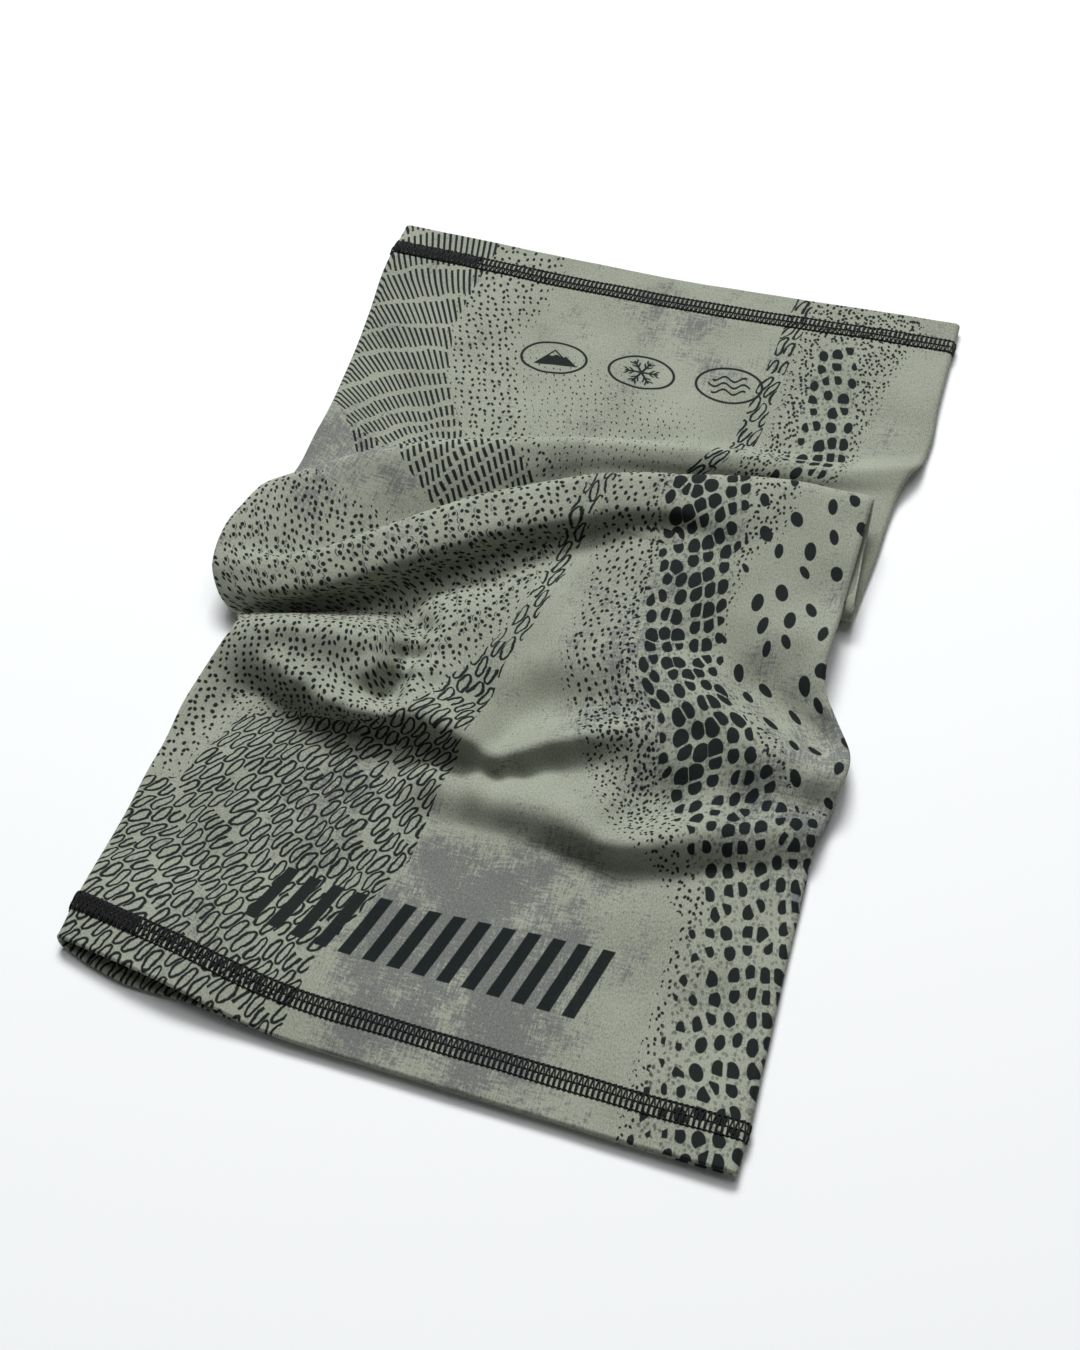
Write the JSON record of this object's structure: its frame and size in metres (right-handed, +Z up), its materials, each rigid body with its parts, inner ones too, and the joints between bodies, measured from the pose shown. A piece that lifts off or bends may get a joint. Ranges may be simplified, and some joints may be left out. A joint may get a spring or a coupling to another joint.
{
  "type": "neck gaiter",
  "caption": "Printed stretch-knit neck tube with coverstitched hems at both openings, lying flat with its middle pushed together into soft folds.",
  "frame": {"origin": "on the table, under the middle of the gaiter's bounding box", "axes": "+X across the tube from the seamed side fold to the plain one, +Y along the tube to the far hem, +Z up"},
  "size_m": [0.2572, 0.383, 0.0282],
  "materials": {
    "printed_knit": "brushed stretch jersey, olive grey with a dark teal print of dots, ovals and dashes",
    "black_thread": "textured polyester sewing thread, black"
  },
  "bodies": {
    "root": {"knit_panel": "printed_knit", "near_hem_needle_thread_1": "black_thread", "near_hem_needle_thread_2": "black_thread", "near_hem_needle_thread_3": "black_thread", "near_hem_looper_thread": "black_thread", "far_hem_needle_thread_1": "black_thread", "far_hem_needle_thread_2": "black_thread", "far_hem_needle_thread_3": "black_thread", "far_hem_looper_thread": "black_thread", "side_seam_needle_thread_1": "black_thread", "side_seam_needle_thread_2": "black_thread", "side_seam_looper_thread_1": "black_thread", "side_seam_looper_thread_2": "black_thread"}
  },
  "joints": []
}
